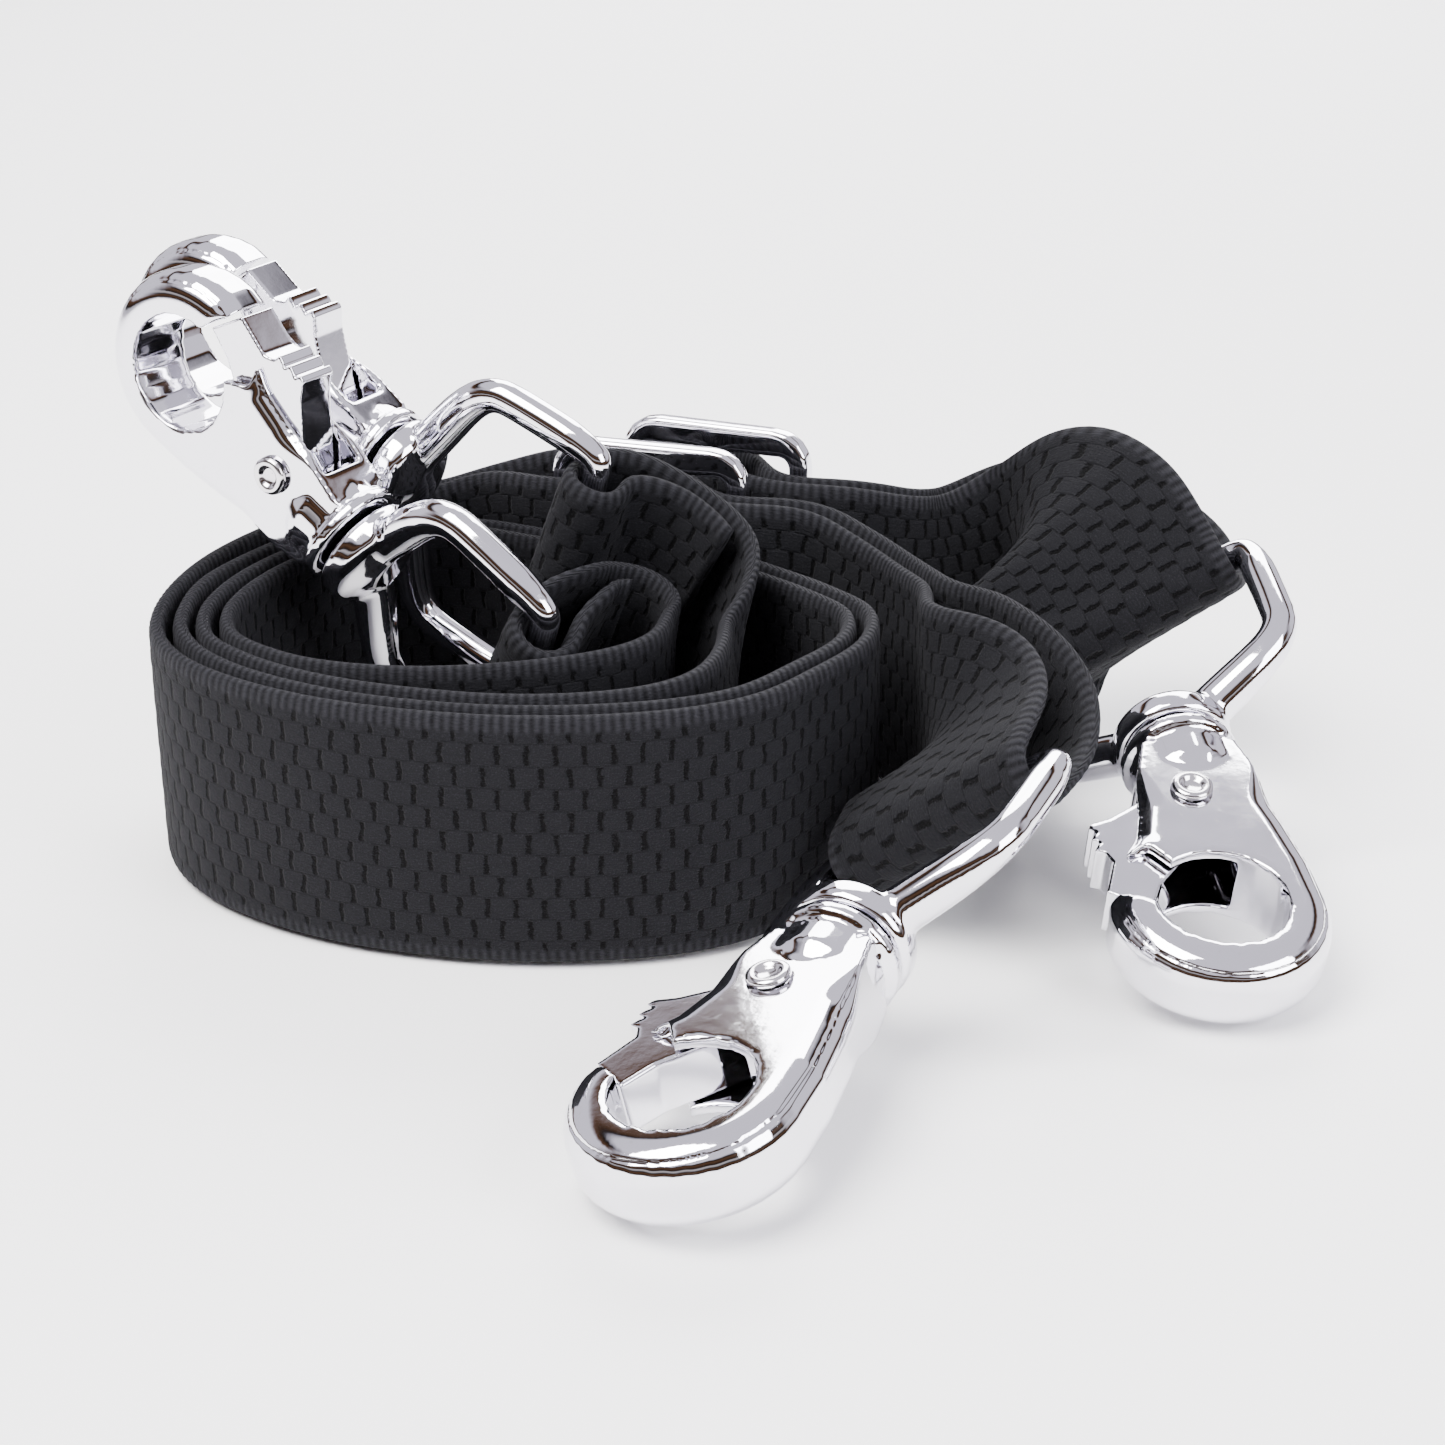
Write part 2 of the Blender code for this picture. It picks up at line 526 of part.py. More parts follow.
def add_hook(hook, chrome, dark):
    """A hook's five pieces under two frames: its eye on the crossbar, and its body on the swivel."""
    eye_base = add_empty(hook + "_eye_frame", eye_frame(hook))
    body_base = add_empty(hook + "_hook_frame", hook_frame(hook))
    frame, hub = eye_meshes()
    eye = add_object(hook + "_swivel_eye", frame, chrome, eye_base)
    cut_or_join(eye, hub, "UNION")
    plate, tail, cuts = hook_body_meshes()
    body = add_object(hook + "_hook_body", plate, chrome, body_base)
    cut_or_join(body, tail, "UNION")
    for cut in cuts:
        cut_or_join(body, cut, "DIFFERENCE")
    outline, gate_cuts = gate_meshes()
    gate = add_object(hook + "_gate", outline, chrome, body_base)
    for cut in gate_cuts:
        cut_or_join(gate, cut, "DIFFERENCE")
    rivet = add_object(hook + "_rivet", rivet_mesh(), chrome, body_base)
    spring = add_object(hook + "_gate_spring", spring_mesh(), dark, body_base)
    for piece in (gate, rivet, spring):
        piece.location = (PIVOT[0] * MM, PIVOT[1] * MM, 0.0)


def build():
    clear_scene()
    webbing = material("black_webbing", (0.012, 0.012, 0.014), 0.9, 0.0)
    chrome = material("chrome", (0.86, 0.86, 0.88), 0.08, 1.0)
    dark = material("spring_steel", (0.35, 0.35, 0.37), 0.35, 1.0)
    outer = add_strap("strap_outer", "right", "far", [Vector(p) for p in OUTER_GUIDE], webbing)
    inner = add_strap("strap_inner", "front", "near", [Vector(p) for p in INNER_GUIDE], webbing)
    add_slide("right_slide", outer, chrome)
    add_slide("front_slide", inner, chrome)
    for hook in HOOKS:
        add_hook(hook, chrome, dark)


build()
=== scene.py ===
"""Elastic suspenders rolled into an oval coil, with chrome swivel trigger hooks.

Lengths in the strap section are in millimetres, in the coil's own frame; every mesh ends in
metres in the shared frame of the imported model.
"""

import json
import math

import bpy
import numpy as np
from mathutils import Matrix, Vector


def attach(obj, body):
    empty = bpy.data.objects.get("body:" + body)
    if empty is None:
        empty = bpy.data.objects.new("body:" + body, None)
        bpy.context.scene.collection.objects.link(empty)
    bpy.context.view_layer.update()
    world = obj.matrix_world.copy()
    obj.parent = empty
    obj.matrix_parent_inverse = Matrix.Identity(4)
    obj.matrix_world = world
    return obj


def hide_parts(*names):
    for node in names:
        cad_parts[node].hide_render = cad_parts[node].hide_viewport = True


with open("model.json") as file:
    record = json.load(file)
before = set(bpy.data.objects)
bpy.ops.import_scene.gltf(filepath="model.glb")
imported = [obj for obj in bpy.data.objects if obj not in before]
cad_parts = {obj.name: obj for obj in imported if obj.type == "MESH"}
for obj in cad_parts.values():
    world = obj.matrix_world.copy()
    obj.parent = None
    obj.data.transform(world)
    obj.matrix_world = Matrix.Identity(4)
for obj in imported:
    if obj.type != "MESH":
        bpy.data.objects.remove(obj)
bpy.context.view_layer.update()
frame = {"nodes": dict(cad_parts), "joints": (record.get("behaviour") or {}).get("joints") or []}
joints = {joint["name"]: joint for joint in frame["joints"]}


# --- straps ------------------------------------------------------------------------------
# Two lengths of black woven elastic, each running from one hook through the coil to another.
# Both ends pass round the crossbar of a hook's eye; on the front and right hooks they come
# back to the middle bar of a slide adjuster, and on the near and far hooks they are sewn.

SHIFT = np.array([-14.808, 18.206, 0.305])   # from the coil's frame to the shared one
HALF_WIDTH = 12.4
HALF_THICK = 0.8
STATION = 1.4
MIDDLE = 12.7
WRAP = 3.0                   # middle of the webbing round a crossbar
SLIDE_REACH = 10.0
MAIN_RISE = 5.3
UNDER_BAR = 2.7
STEP = 0.65                  # spacing of the finished mesh along the webbing
BRICK_LONG = 2.6             # one float of the weave
BRICK_WIDE = 2.2             # one rib of the weave
RIBS = 11

# Strap ends: the side of the guide that the main layer lies on, the length of the folded-back
# stretch, whether it ends at a slide adjuster or is sewn down, and where the webbing stands upright
ENDS = {
    "right": {"side": 1, "double": 56.7, "slide": True, "twist": 27.0, "loose": 20.0, "bulge": 6.0},
    "front": {"side": 1, "double": 73.4, "slide": True, "twist": 26.0, "loose": 34.0, "bulge": 1.2},
    "near": {"side": 1, "double": 13.0, "slide": False, "twist": 20.0, "loose": 9.0, "bulge": 0.0},
    "far": {"side": 1, "double": 15.0, "slide": False, "twist": 28.0, "loose": 9.0, "bulge": 0.0},
}
HALF_LAYER = 1.35            # half the distance between the two layers of a folded end
RAMP = 9.0                   # length over which the layers open for a slide adjuster
HEM_RADIUS = 2.75            # middle of the webbing round the adjuster's middle bar
FOLD_DROP = 5.1              # how far the folded-back layer passes below an end bar

# Guides of the two straps, from one crossbar through the coil to the other
OUTER_GUIDE = [
    (59.6, 17.4, 20.8), (57.8, 23.2, 21.0), (52.2, 28.0, 18.4), (44.0, 28.4, 15.4), (36.0, 28.6, 15.4),
    (28.5, 31.0, 16.8), (23.5, 33.1, 16.9), (18.5, 35.2, 16.9), (13.5, 37.3, 16.9), (8.5, 39.4, 16.8),
    (-1.0, 41.8, 15.4), (-11.0, 40.6, 13.2), (-20.5, 35.6, MIDDLE), (-28.6, 27.4, MIDDLE),
    (-34.8, 16.0, MIDDLE), (-37.4, 4.5, MIDDLE), (-36.9, -6.0, MIDDLE), (-33.0, -14.5, MIDDLE),
    (-25.5, -21.5, MIDDLE), (-15.0, -26.8, MIDDLE), (-2.0, -29.6, MIDDLE), (11.0, -29.0, MIDDLE),
    (20.8, -25.2, MIDDLE), (27.2, -18.0, MIDDLE), (32.2, -10.0, MIDDLE), (33.2, -1.5, MIDDLE),
    (29.4, 5.0, MIDDLE), (24.4, 10.6, MIDDLE), (18.4, 16.2, MIDDLE), (10.0, 19.8, MIDDLE),
    (1.0, 22.6, MIDDLE), (-8.0, 26.6, MIDDLE), (-17.0, 26.6, MIDDLE), (-25.0, 19.8, MIDDLE),
    (-30.6, 10.4, MIDDLE), (-33.0, 0.6, MIDDLE), (-31.8, -7.6, MIDDLE), (-27.8, -13.2, MIDDLE),
    (-21.5, -18.2, MIDDLE), (-13.0, -22.0, MIDDLE), (-2.0, -24.4, MIDDLE), (8.0, -23.6, MIDDLE),
    (14.6, -20.0, MIDDLE), (17.8, -13.4, MIDDLE), (18.8, -5.0, 13.4), (18.8, 1.8, 16.0),
    (16.4, 7.6, 19.6), (11.6, 10.6, 23.0), (6.0, 11.0, 25.7),
]
INNER_GUIDE = [
    (41.2, -22.8, 15.0), (43.8, -15.0, 14.8), (43.6, -6.0, 14.2), (41.0, 3.0, 13.4), (36.6, 12.5, 13.4),
    (29.0, 20.4, 15.4), (20.5, 24.4, 16.9), (15.5, 26.05, 16.9), (10.5, 27.7, 16.9), (5.5, 29.35, 16.9),
    (0.5, 31.0, 16.9), (-8.0, 33.8, 15.2), (-17.2, 31.8, 13.2), (-25.4, 24.4, MIDDLE),
    (-31.0, 15.6, MIDDLE), (-34.4, 8.0, MIDDLE), (-35.2, 1.0, MIDDLE), (-34.4, -6.4, MIDDLE),
    (-30.7, -13.5, MIDDLE), (-24.0, -19.6, MIDDLE), (-14.2, -24.6, MIDDLE), (-2.0, -27.2, MIDDLE),
    (10.2, -26.6, MIDDLE), (19.4, -23.2, MIDDLE), (25.4, -16.4, MIDDLE), (30.0, -9.4, MIDDLE),
    (30.9, -2.2, MIDDLE), (27.6, 3.4, MIDDLE), (22.8, 8.8, MIDDLE), (17.2, 13.9, MIDDLE),
    (9.2, 17.4, MIDDLE), (0.0, 20.2, MIDDLE), (-8.4, 24.2, MIDDLE), (-15.9, 24.2, MIDDLE),
    (-23.2, 18.0, MIDDLE), (-28.4, 9.2, MIDDLE), (-30.7, 0.2, MIDDLE), (-29.6, -6.9, MIDDLE),
    (-26.0, -11.7, MIDDLE), (-19.8, -15.7, MIDDLE), (-11.0, -17.4, MIDDLE), (-2.0, -16.4, MIDDLE),
    (6.0, -13.6, MIDDLE), (10.8, -9.6, MIDDLE), (12.6, -4.0, MIDDLE), (11.6, 1.2, 13.4),
    (8.0, 4.6, 15.2), (3.0, 4.9, 17.0), (-0.6, 1.2, 17.6),
]



def smooth_path(points, spacing):
    """A Catmull-Rom curve through the points, cut into equal steps."""
    p = np.array([list(points[0])] + [list(q) for q in points] + [list(points[-1])], float)
    fine = []
    for a, b, c, d in zip(p[:-3], p[1:-2], p[2:-1], p[3:]):
        steps = max(4, int(np.linalg.norm(c - b) / 0.4))
        t = np.linspace(0.0, 1.0, steps, endpoint=False)[:, None]
        fine.append(0.5 * (2 * b + (c - a) * t + (2 * a - 5 * b + 4 * c - d) * t ** 2
                           + (3 * b - 3 * c + d - a) * t ** 3))
    fine = np.vstack(fine + [p[-1:]])
    run = np.concatenate([[0.0], np.cumsum(np.linalg.norm(np.diff(fine, axis=0), axis=1))])
    even = np.linspace(0.0, run[-1], int(round(run[-1] / spacing)) + 1)
    return np.stack([np.interp(even, run, fine[:, i]) for i in range(3)], 1), even


def unit(rows):
    return rows / np.linalg.norm(rows, axis=-1, keepdims=True)


def blend(value, low, high):
    """Smooth step from 0 at low to 1 at high."""
    t = np.clip((value - low) / (high - low), 0.0, 1.0)
    return t * t * (3.0 - 2.0 * t)


def bar_direction(hook):
    """Direction of a hook's crossbar."""
    return Vector(joints[hook + "_eye_on_webbing"]["axis"]).normalized()


def bar_middle(hook):
    """Middle of a hook's crossbar in the coil's frame."""
    return np.array(joints[hook + "_eye_on_webbing"]["pos_m"]) * 1000.0 - SHIFT


def frame_of(path, run, first, last):
    """Width direction and thickness direction at every point of a guide."""
    ahead = unit(np.gradient(path, axis=0))
    wide = np.tile(np.array([0.0, 0.0, 1.0]), (len(path), 1))
    for end, distance in ((first, run), (last, run[-1] - run)):
        near = 1.0 - blend(distance, 3.0, ENDS[end]["twist"])
        wide = wide + near[:, None] * (np.array(bar_direction(end)) - wide)
    wide = unit(wide - ahead * (wide * ahead).sum(1)[:, None])
    for end, distance in ((first, run), (last, run[-1] - run)):
        near = 1.0 - blend(distance, 1.0, 9.0)
        wide = unit(wide + near[:, None] * (np.array(bar_direction(end)) - wide))
    return wide, unit(np.cross(ahead, wide))


def layer_offsets(distance, end):
    """How far the main layer and the folded-back layer lie from the guide near one end."""
    spec = ENDS[end]
    close = WRAP - (WRAP - HALF_LAYER) * blend(distance, spec["loose"] - 9.0, spec["loose"])
    close = close + spec["bulge"] * np.sin(np.pi * np.clip(distance / spec["loose"], 0.0, 1.0))
    if not spec["slide"]:
        main = close * (1.0 - blend(distance, spec["double"], spec["double"] + 14.0))
        return main, -close
    along = distance - spec["double"]
    hump = 0.5 * (1.0 + np.cos(np.pi * np.clip(along / SLIDE_REACH, -1.0, 1.0)))
    over = -UNDER_BAR + (MAIN_RISE + UNDER_BAR) * hump
    level = SLIDE_REACH + 1.6
    near = blend(along, -level - RAMP, -level) * (1.0 - blend(along, level, level + RAMP))
    main = close * (along < 0.0) * (1.0 - near) + over * near
    below = -close + (close - FOLD_DROP) * blend(along, -level - RAMP, -level)
    below = below + (FOLD_DROP - HEM_RADIUS) * blend(along, -SLIDE_REACH + 1.0, -1.0)
    return main, below


def at(run, rows, distance):
    return np.array([np.interp(distance, run, rows[:, i]) for i in range(3)])


def end_stations(path, run, wide, out, end):
    """Stations from the hem, along the folded-back layer and round the crossbar."""
    last, side, stations = ENDS[end]["double"], ENDS[end]["side"], []
    if ENDS[end]["slide"]:
        centre, w, u = at(run, path, last), unit(at(run, wide, last)), unit(at(run, out, last))
        ahead = unit(at(run, path, last + 1.0) - centre)
        for turn in np.radians(np.arange(95.0, -85.0, -22.0)):
            spot = centre + HEM_RADIUS * (side * u * math.sin(turn) + ahead * math.cos(turn))
            stations.append((spot, w))
    for distance in np.arange(last, 0.8, -STATION):
        below = float(layer_offsets(np.array([distance]), end)[1][0])
        spot = at(run, path, distance) + side * below * unit(at(run, out, distance))
        stations.append((spot, unit(at(run, wide, distance))))
    w, u = wide[0], out[0]
    ahead = path[2] - path[0]
    ahead = unit(ahead - w * np.dot(ahead, w) - u * np.dot(ahead, u))
    for turn in np.radians(np.linspace(-90.0, 90.0, 10)):
        stations.append((path[0] + WRAP * (side * u * math.sin(turn) - ahead * math.cos(turn)), w))
    return stations


def straightened(path, run, wide, out, middle):
    """The path and its frames, made straight and level where a slide adjuster sits at `middle`."""
    w, u = unit(at(run, wide, middle)), unit(at(run, out, middle))
    ahead = at(run, path, middle + 1.0) - at(run, path, middle - 1.0)
    ahead = unit(ahead - w * np.dot(ahead, w) - u * np.dot(ahead, u))
    along = run - middle
    share = 1.0 - blend(np.abs(along), SLIDE_REACH + 2.0, SLIDE_REACH + RAMP + 3.0)[:, None]
    line = at(run, path, middle) + along[:, None] * ahead
    wide, out = unit(wide + (w - wide) * share), unit(out + (u - out) * share)
    return path + (line - path) * share, wide, out


def strap_stations(first, last, guide):
    """Middles and width directions of a whole strap, from hem to hem."""
    path, run = smooth_path([bar_middle(first)] + guide + [bar_middle(last)], STATION / 2.0)
    wide, out = frame_of(path, run, first, last)
    if ENDS[first]["slide"]:
        path, wide, out = straightened(path, run, wide, out, ENDS[first]["double"])
    offset = np.zeros(len(path))
    for end, distance in ((first, run), (last, run[-1] - run)):
        offset = offset + ENDS[end]["side"] * layer_offsets(distance, end)[0]
    main = path + out * offset[:, None]
    begin = end_stations(path, run, wide, out, first)
    finish = end_stations(path[::-1], run, wide[::-1], out[::-1], last)
    stations = begin + list(zip(main[2:-2], wide[2:-2])) + finish[::-1]
    return np.array([s[0] for s in stations]), unit(np.array([s[1] for s in stations]))


def even_ribbon(middles, wide):
    """The stations at even steps of STEP, softened over about one step."""
    run = np.concatenate([[0.0], np.cumsum(np.linalg.norm(np.diff(middles, axis=0), axis=1))])
    even = np.linspace(0.0, run[-1], int(run[-1] / STEP))
    kernel = np.exp(-0.5 * (np.arange(-4, 5) / 1.2) ** 2)
    kernel /= kernel.sum()
    made = []
    for rows in (middles, wide):
        cut = np.stack([np.interp(even, run, rows[:, i]) for i in range(3)], 1)
        padded = np.vstack([2 * cut[:1] - cut[4:0:-1], cut, 2 * cut[-1:] - cut[-2:-6:-1]])
        made.append(np.stack([np.convolve(padded[:, i], kernel, "valid") for i in range(3)], 1))
    return made[0], unit(made[1]), even


def weave_relief(along, across, face):
    """Height of the floats, sin(pi u)^0.45 (0.72 + 0.28 sin(pi v)) in each brick of the weave, and
    small ribs on the selvedges."""
    row = np.clip(np.floor((across + RIBS * BRICK_WIDE / 2.0) / BRICK_WIDE), 0, RIBS - 1)
    u = np.mod(along + (row + face) % 2 * BRICK_LONG / 2.0, BRICK_LONG) / BRICK_LONG
    v = np.mod(across + RIBS * BRICK_WIDE / 2.0, BRICK_WIDE) / BRICK_WIDE
    pillow = np.clip(np.sin(np.pi * u), 0.0, 1.0) ** 0.45 * (0.72 + 0.28 * np.sin(np.pi * v))
    inside = np.clip((10.9 - np.abs(across)) / 0.5, 0.0, 1.0)
    return 0.16 * (pillow - 0.6) * inside + 0.05 * np.sin(2.0 * np.pi * along / 1.3) * (1.0 - inside)


def strap_mesh(name, middles, wide, along):
    """Closed strip: point = middle + a * wide + b(a, s) * thick, b rounding to 0 at both selvedges."""
    ahead = unit(np.gradient(middles, axis=0))
    thick = unit(np.cross(ahead, wide))
    inner = np.linspace(-12.1, 12.1, 45)
    across = np.concatenate([[-12.4, -12.3], inner, [12.3, 12.4]])
    plump = HALF_THICK * np.sqrt(np.clip(1.0 - (np.abs(across) / HALF_WIDTH) ** 26, 0.0, 1.0))
    loop_a = np.concatenate([across, across[-2:0:-1]])
    loop_b = np.concatenate([plump, -plump[-2:0:-1]])
    face = np.concatenate([np.zeros(len(across)), np.ones(len(across) - 2)])
    sign = 1.0 - 2.0 * face
    relief = weave_relief(along[:, None], loop_a[None, :], face[None, :])
    wave = 0.10 * np.sin(along[:, None] / 37.0 + loop_a[None, :] / 9.0)
    b = loop_b[None, :] + sign[None, :] * relief * (np.abs(loop_b[None, :]) > 0.5)
    points = (middles[:, None, :] + loop_a[None, :, None] * wide[:, None, :]
              + (b + wave)[:, :, None] * thick[:, None, :])
    n, m = len(middles), len(loop_a)
    index = np.arange(n * m).reshape(n, m)
    a, c = index[:-1], index[1:]
    quads = np.stack([a, np.roll(a, -1, 1), np.roll(c, -1, 1), c], -1).reshape(-1, 4)
    faces = quads.tolist() + [index[0][::-1].tolist(), index[-1].tolist()]
    mesh = bpy.data.meshes.new(name)
    mesh.from_pydata(((points.reshape(-1, 3) + SHIFT) * 0.001).tolist(), [], faces)
    lay = np.stack([np.repeat(along, m), np.tile(loop_a + RIBS * BRICK_WIDE / 2.0, n)], 1)
    lay[:, 0] += np.tile(face, n) * BRICK_LONG / 2.0
    corner = np.zeros(len(mesh.loops), np.int32)
    mesh.loops.foreach_get("vertex_index", corner)
    mesh.uv_layers.new(name="weave").data.foreach_set("uv", lay[corner].ravel())
    mesh.polygons.foreach_set("use_smooth", np.ones(len(mesh.polygons), bool))
    if mesh_volume(points, quads) < 0.0:
        mesh.flip_normals()
    mesh.update()
    return mesh


def mesh_volume(points, quads):
    """Signed volume of the strip from its quads, each as two triangles seen from the origin."""
    p = points.reshape(-1, 3)[quads]
    first = (p[:, 0] * np.cross(p[:, 1], p[:, 2])).sum()
    return first + (p[:, 0] * np.cross(p[:, 2], p[:, 3])).sum()


def webbing_material():
    """Black floats in brick order with fine yarn in them, painted shade in the slits and seams between
    the floats, and grey plain-woven selvedges.
    """
    made = bpy.data.materials.new("black_webbing_weave")
    made.use_nodes = True
    tree = made.node_tree
    shader = tree.nodes["Principled BSDF"]

    def add(kind, **values):
        node = tree.nodes.new(kind)
        for key, value in values.items():
            if key in node.inputs:
                node.inputs[key].default_value = value
            else:
                setattr(node, key, value)
        return node

    def math_node(operation, a, b):
        node = add("ShaderNodeMath", operation=operation)
        for socket, value in zip(node.inputs, (a, b)):
            if isinstance(value, float):
                socket.default_value = value
            else:
                tree.links.new(value, socket)
        return node.outputs[0]

    def soft_step(value, start, end):
        """Smooth step of a value from 0 at start to 1 at end."""
        node = add("ShaderNodeMapRange", interpolation_type="SMOOTHSTEP")
        node.inputs["From Min"].default_value = min(start, end)
        node.inputs["From Max"].default_value = max(start, end)
        node.inputs["To Min"].default_value = 0.0 if start < end else 1.0
        node.inputs["To Max"].default_value = 1.0 if start < end else 0.0
        link(value, node.inputs["Value"])
        return node.outputs[0]

    link = tree.links.new
    uv = add("ShaderNodeUVMap", uv_map="weave")
    split = add("ShaderNodeSeparateXYZ")
    link(uv.outputs[0], split.inputs[0])
    along, across = split.outputs[0], split.outputs[1]
    wobble = add("ShaderNodeTexNoise", **{"Scale": 0.9, "Detail": 3.0, "Roughness": 0.6})
    link(uv.outputs[0], wobble.inputs["Vector"])
    drift = math_node("MULTIPLY", math_node("SUBTRACT", wobble.outputs[0], 0.5), 0.9)
    row = math_node("DIVIDE", math_node("ADD", across, math_node("MULTIPLY", drift, 0.35)), BRICK_WIDE)
    odd = math_node("MULTIPLY", math_node("MODULO", math_node("FLOOR", row, 0.0), 2.0), 0.5)
    turns = math_node("DIVIDE", math_node("ADD", along, drift), BRICK_LONG)
    place = math_node("FRACT", math_node("ADD", turns, odd), 0.0)
    from_slit = math_node("MINIMUM", place, math_node("SUBTRACT", 1.0, place))
    in_row = math_node("ABSOLUTE", math_node("SUBTRACT", math_node("FRACT", row, 0.0), 0.5), 0.0)
    slit = math_node("MULTIPLY", soft_step(from_slit, 0.13, 0.05), soft_step(in_row, 0.50, 0.40))
    seam = soft_step(in_row, 0.42, 0.5)
    # painted shade: where the slits at the float ends and the seams between rows sink in the bump, the
    # base colour is darkened to near black
    slit_shade = add("ShaderNodeMix", data_type="RGBA")
    slit_shade.inputs[6].default_value = (0.0078, 0.0079, 0.0094, 1)
    slit_shade.inputs[7].default_value = (0.0002, 0.0002, 0.0003, 1)
    link(math_node("MAXIMUM", slit, math_node("MULTIPLY", seam, 0.30)), slit_shade.inputs[0])
    stretch = add("ShaderNodeMapping")
    stretch.inputs["Scale"].default_value = (0.9, 3.6, 1.0)
    link(uv.outputs[0], stretch.inputs[0])
    yarn = add("ShaderNodeTexNoise", **{"Scale": 1.6, "Detail": 5.0, "Roughness": 0.65})
    link(stretch.outputs[0], yarn.inputs["Vector"])
    fuzz = add("ShaderNodeTexNoise", **{"Scale": 5.5, "Detail": 3.0, "Roughness": 0.7})
    link(uv.outputs[0], fuzz.inputs["Vector"])
    edge = math_node("ABSOLUTE", math_node("SUBTRACT", across, RIBS * BRICK_WIDE / 2.0), 0.0)
    ramp = add("ShaderNodeMapRange", **{"From Min": 10.7, "From Max": 11.2})
    link(edge, ramp.inputs["Value"])
    ribs = math_node("SINE", math_node("MULTIPLY", along, 2.0 * math.pi / 0.9), 0.0)
    selvedge = add("ShaderNodeValToRGB")
    selvedge.color_ramp.elements[0].color = (0.0030, 0.0030, 0.0036, 1)
    selvedge.color_ramp.elements[1].color = (0.022, 0.022, 0.026, 1)
    link(math_node("ADD", math_node("MULTIPLY", ribs, 0.3), yarn.outputs[0]), selvedge.inputs[0])
    lint = add("ShaderNodeMix", data_type="RGBA", blend_type="SCREEN")
    lint.inputs[7].default_value = (0.014, 0.014, 0.016, 1)
    link(slit_shade.outputs[2], lint.inputs[6])
    flecks = add("ShaderNodeMapRange", **{"From Min": 0.52, "From Max": 0.78})
    link(fuzz.outputs[0], flecks.inputs["Value"])
    link(flecks.outputs[0], lint.inputs[0])
    colour = add("ShaderNodeMix", data_type="RGBA")
    link(ramp.outputs[0], colour.inputs[0])
    link(lint.outputs[2], colour.inputs[6])
    link(selvedge.outputs[0], colour.inputs[7])
    link(colour.outputs[2], shader.inputs["Base Color"])
    floats = math_node("SUBTRACT", math_node("MULTIPLY", slit, -1.2), math_node("MULTIPLY", seam, 0.35))
    inside = math_node("SUBTRACT", 1.0, ramp.outputs[0])
    height = math_node("ADD", math_node("MULTIPLY", floats, inside),
                       math_node("MULTIPLY", yarn.outputs[0], 0.8))
    edge_ribs = math_node("MULTIPLY", math_node("MULTIPLY", ribs, 0.25), ramp.outputs[0])
    height = math_node("ADD", height, edge_ribs)
    height = math_node("ADD", height, math_node("MULTIPLY", fuzz.outputs[0], 0.35))
    bump = add("ShaderNodeBump", **{"Strength": 0.85, "Distance": 0.0003})
    link(height, bump.inputs["Height"])
    link(bump.outputs[0], shader.inputs["Normal"])
    shader.inputs["Roughness"].default_value = 0.82
    shader.inputs["Specular IOR Level"].default_value = 0.08
    shader.inputs["Sheen Weight"].default_value = 0.025
    shader.inputs["Sheen Roughness"].default_value = 0.45
    shader.inputs["Sheen Tint"].default_value = (0.75, 0.75, 0.80, 1)
    return made


weave = webbing_material()
for name, first, last, guide in (("outer", "right", "far", OUTER_GUIDE),
                                 ("inner", "front", "near", INNER_GUIDE)):
    middles, wide = strap_stations(first, last, [np.array(p) for p in guide])
    middles, wide, along = even_ribbon(middles, wide)
    mesh = strap_mesh("woven_strap_" + name, middles, wide, along)
    strap = bpy.data.objects.new("woven_strap_" + name, mesh)
    bpy.context.scene.collection.objects.link(strap)
    strap.data.materials.append(weave)
    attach(strap, "straps")
    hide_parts("strap_" + name)


# --- slide adjusters ---------------------------------------------------------------------
# Chrome frames with two slots, one on each of the front and right ends. The webbing passes
# over the middle bar and its folded-back hem goes round the same bar.

def plated_metal(name, tint, roughness, wear):
    """Plated metal: uneven polish, faint ripples of the casting and small dull spots."""
    made = bpy.data.materials.new(name)
    made.use_nodes = True
    tree = made.node_tree
    shader = tree.nodes["Principled BSDF"]
    place = tree.nodes.new("ShaderNodeTexCoord")

    def noise(scale, detail):
        node = tree.nodes.new("ShaderNodeTexNoise")
        node.inputs["Scale"].default_value = scale
        node.inputs["Detail"].default_value = detail
        tree.links.new(place.outputs["Object"], node.inputs["Vector"])
        return node.outputs[0]

    def to_range(value, low, high, out_low, out_high):
        node = tree.nodes.new("ShaderNodeMapRange")
        for key, number in (("From Min", low), ("From Max", high),
                            ("To Min", out_low), ("To Max", out_high)):
            node.inputs[key].default_value = number
        tree.links.new(value, node.inputs["Value"])
        return node.outputs[0]

    polish, spots = noise(260.0, 4.0), noise(1500.0, 2.0)
    mixed = tree.nodes.new("ShaderNodeMath")
    mixed.operation = "ADD"
    tree.links.new(to_range(polish, 0.3, 0.75, roughness * 0.75, roughness * 1.3), mixed.inputs[0])
    tree.links.new(to_range(spots, 0.62, 0.78, 0.0, wear), mixed.inputs[1])
    tree.links.new(mixed.outputs[0], shader.inputs["Roughness"])
    colour = tree.nodes.new("ShaderNodeMix")
    colour.data_type = "RGBA"
    colour.inputs[6].default_value = (*tint, 1.0)
    colour.inputs[7].default_value = (*[0.62 * c for c in tint], 1.0)
    tree.links.new(to_range(spots, 0.64, 0.84, 0.0, 0.2), colour.inputs[0])
    tree.links.new(colour.outputs[2], shader.inputs["Base Color"])
    bump = tree.nodes.new("ShaderNodeBump")
    bump.inputs["Strength"].default_value = 0.05
    bump.inputs["Distance"].default_value = 0.0003
    tree.links.new(polish, bump.inputs["Height"])
    tree.links.new(bump.outputs[0], shader.inputs["Normal"])
    shader.inputs["Metallic"].default_value = 1.0
    return made


